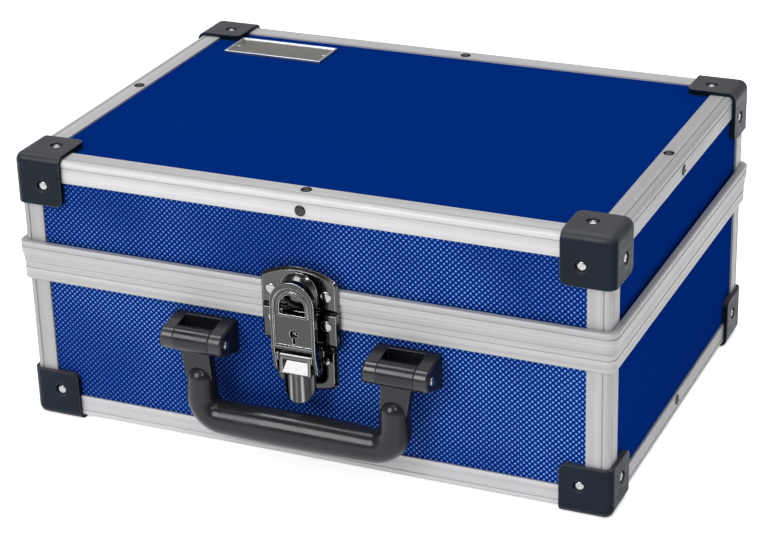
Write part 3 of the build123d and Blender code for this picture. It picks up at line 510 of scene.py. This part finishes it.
def turned(mesh, profile, origin, axis, slot=0):
    """Add a turned form: pairs of radius and height round an axis, closed where the radius is nothing."""
    turn = axis.to_track_quat("Z", "Y").to_matrix()
    rings = []
    for radius, height in profile:
        if radius == 0:
            rings.append([mesh.verts.new(origin + turn @ Vector((0, 0, height)))])
            continue
        ring = []
        for step in range(HEAD_SIDES):
            angle = 2 * pi * step / HEAD_SIDES
            place = Vector((radius * cos(angle), radius * sin(angle), height))
            ring.append(mesh.verts.new(origin + turn @ place))
        rings.append(ring)
    for low, high in zip(rings, rings[1:]):
        for step in range(HEAD_SIDES):
            after = (step + 1) % HEAD_SIDES
            corners = [low[step % len(low)], low[after % len(low)], high[after % len(high)], high[step % len(high)]]
            face = mesh.faces.new(dict.fromkeys(corners))
            face.smooth = True
            face.material_index = slot


def domed_head(radius, height, hole=0.0):
    """Profile of a rivet head, with the hollow end of a blind rivet where hole is above nothing."""
    profile = [(radius, 0.0), (radius, 0.18 * height)]
    for step in range(1, DOME_STEPS + 1):
        angle = pi / 2 * step / (DOME_STEPS + 0.4)
        profile.append((radius * cos(angle), height * (0.22 + 0.78 * sin(angle))))
    if not hole:
        return profile + [(0.0, height)]
    profile = [p for p in profile if p[0] > hole * 1.15]
    hollow = ((1.0, 0.92), (0.9, 0.45), (0.5, 0.55), (0.0, 0.6))
    return profile + [(out * hole, up * height) for out, up in hollow]


def piece(name, mesh, materials, body, slot, *nodes):
    """Turn a mesh into a piece on one body, in place of CAD nodes where some are named."""
    data = bpy.data.meshes.new(name)
    mesh.to_mesh(data)
    mesh.free()
    for material in materials:
        data.materials.append(material)
    obj = bpy.data.objects.new(name, data)
    scene.collection.objects.link(obj)
    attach(obj, body)
    if nodes:
        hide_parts(*nodes)


def rivet_heads(name, node, body, hollow, finish=STEEL):
    """Smooth heads in place of a node's rivets, with moulded recesses round those of the corner protectors."""
    heads, recesses = bmesh.new(), bmesh.new()
    for low, high in loose_parts(node):
        size = high - low
        normal = min((X, Y, Z), key=lambda i: size[i])
        middle = (low + high) / 2
        sign = 1.0 if middle[normal] > CASE_MIDDLE[normal] else -1.0
        axis = Vector([sign if i == normal else 0.0 for i in (X, Y, Z)])
        height = size[normal]
        radius = max(size) / 2
        seat = middle - axis * height / 2
        on_rail = min(abs(middle.x - CASE_MIDDLE.x), abs(middle.y - CASE_MIDDLE.y)) < RAIL_RIVET_REACH
        if hollow and not on_rail:
            radius *= SUNK_SHARE
            if axis.z > DOWNWARD:
                turned(recesses, [(r * MM, h * MM) for r, h in RECESS_SLOPE], seat, axis)
        hole = HOLE_SHARE * radius if hollow else 0.0
        turned(heads, domed_head(radius, height, hole), seat, axis, 1 if hollow and on_rail else 0)
    piece(name, heads, (finish, DARK_STEEL), body, "rivet_steel", node)
    if hollow:
        piece(name + "_recesses", recesses, (CORNER_PLASTIC,), body, "black_plastic")
    else:
        recesses.free()


def pin_caps(name, node, body):
    """Peened round ends on the handle's pins."""
    caps = bmesh.new()
    for low, high in loose_parts(node):
        middle = (low + high) / 2
        radius = (high.z - low.z) / 2
        for end, axis in ((low.x, Vector((-1, 0, 0))), (high.x, Vector((1, 0, 0)))):
            origin = Vector((end, middle.y, middle.z)) - axis * PIN_CAP_SINK
            turned(caps, domed_head(radius * PIN_CAP_SHARE, PIN_CAP_HEIGHT), origin, axis)
    piece(name, caps, (STEEL,), body, "rivet_steel")


rivet_heads("base_blind_rivets", "base_case_rivets", "base", True)
rivet_heads("lid_blind_rivets", "lid_case_rivets", "lid", True)
rivet_heads("base_fitting_heads", "base_fitting_rivets", "base", False, LATCH_STEEL)
rivet_heads("lid_fitting_heads", "lid_fitting_rivets", "lid", False, LATCH_STEEL)
rivet_heads("nameplate_heads", "nameplate_rivets", "lid", False)
pin_caps("handle_pin_caps", "handle_pins", "base")


def floor():
    half = FLOOR_SIZE / 2
    mesh = bpy.data.meshes.new("studio_floor")
    mesh.from_pydata([(-half, -half, 0), (half, -half, 0), (half, half, 0), (-half, half, 0)], [], [(0, 1, 2, 3)])
    mesh.materials.append(floor_paint("floor_paint"))
    obj = bpy.data.objects.new("studio_floor", mesh)
    scene.collection.objects.link(obj)


def room():
    """White room that is dim overhead and brighter towards the horizon."""
    world = bpy.data.worlds.new("studio")
    world.use_nodes = True
    tree = world.node_tree
    background = tree.nodes["Background"]
    direction = tree.nodes.new("ShaderNodeTexCoord").outputs["Generated"]
    axes = tree.nodes.new("ShaderNodeSeparateXYZ")
    shade = tree.nodes.new("ShaderNodeMapRange")
    tree.links.new(direction, axes.inputs[0])
    tree.links.new(axes.outputs[Z], shade.inputs["Value"])
    shade.inputs["From Min"].default_value = HORIZON_END
    shade.inputs["From Max"].default_value = ROOM_START
    shade.inputs["To Min"].default_value = HORIZON_LIGHT
    shade.inputs["To Max"].default_value = WORLD_LIGHT
    tree.links.new(shade.outputs[0], background.inputs["Strength"])
    background.inputs["Color"].default_value = (*WHITE, 1.0)
    scene.world = world


def softbox(name, place, target, size, power):
    data = bpy.data.lights.new(name, "AREA")
    data.shape = "RECTANGLE"
    data.size, data.size_y = size
    data.energy = power
    data.color = WHITE
    obj = bpy.data.objects.new(name, data)
    obj.location = place
    direction = Vector(target) - Vector(place)
    obj.rotation_euler = direction.to_track_quat("-Z", "Y").to_euler()
    scene.collection.objects.link(obj)


def camera():
    data = bpy.data.cameras.new("photo_camera")
    data.sensor_width = SENSOR_WIDTH
    data.lens = CAMERA_LENS
    data.clip_start = 0.05
    data.clip_end = 50.0
    obj = bpy.data.objects.new("photo_camera", data)
    turn = (
        Matrix.Rotation(radians(CAMERA_AZIMUTH), 4, "Z")
        @ Matrix.Rotation(radians(90 - CAMERA_ELEVATION), 4, "X")
        @ Matrix.Rotation(radians(CAMERA_ROLL), 4, "Z")
    )
    obj.matrix_world = Matrix.Translation(CAMERA_PLACE) @ turn
    scene.collection.objects.link(obj)
    scene.camera = obj


floor()
room()
for light in LIGHTS:
    softbox(*light)
camera()
scene.view_settings.view_transform = "Standard"
